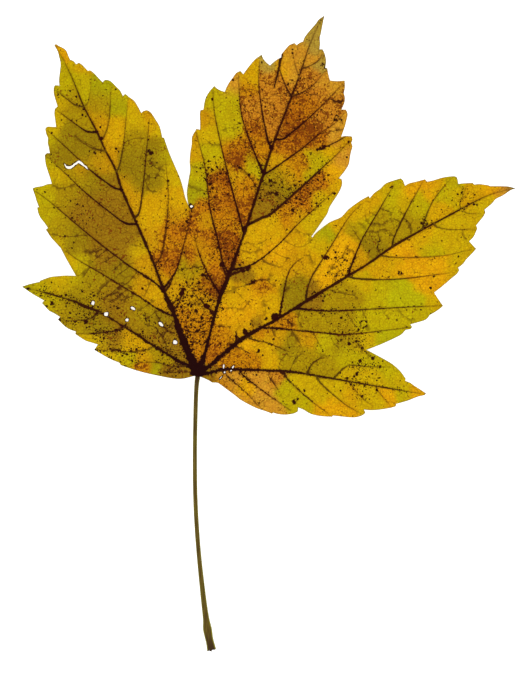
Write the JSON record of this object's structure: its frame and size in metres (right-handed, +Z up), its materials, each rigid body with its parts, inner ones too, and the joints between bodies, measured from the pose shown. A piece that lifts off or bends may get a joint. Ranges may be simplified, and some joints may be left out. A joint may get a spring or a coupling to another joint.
{
  "type": "autumn leaf",
  "caption": "Fallen lobed maple leaf with toothed margin, raised ribs below and a long stalk, lying flat with its upper side up.",
  "frame": {"origin": "centre of the small flat spot under the knot where the stalk divides into the five main veins, on the surface that the leaf lies on", "axes": "+Z up from the surface, out of the leaf's upper side; +Y from the stalk towards the tip of the middle lobe and the leaf's longest direction; +X to the right as seen from above"},
  "size_m": [0.1647, 0.2117, 0.0093],
  "materials": {
    "leaf": "thin, slightly waxy autumn leaf: yellow, green and orange-brown between dark veins, with brown specks"
  },
  "bodies": {
    "root": {"leaf": "leaf"}
  },
  "joints": []
}
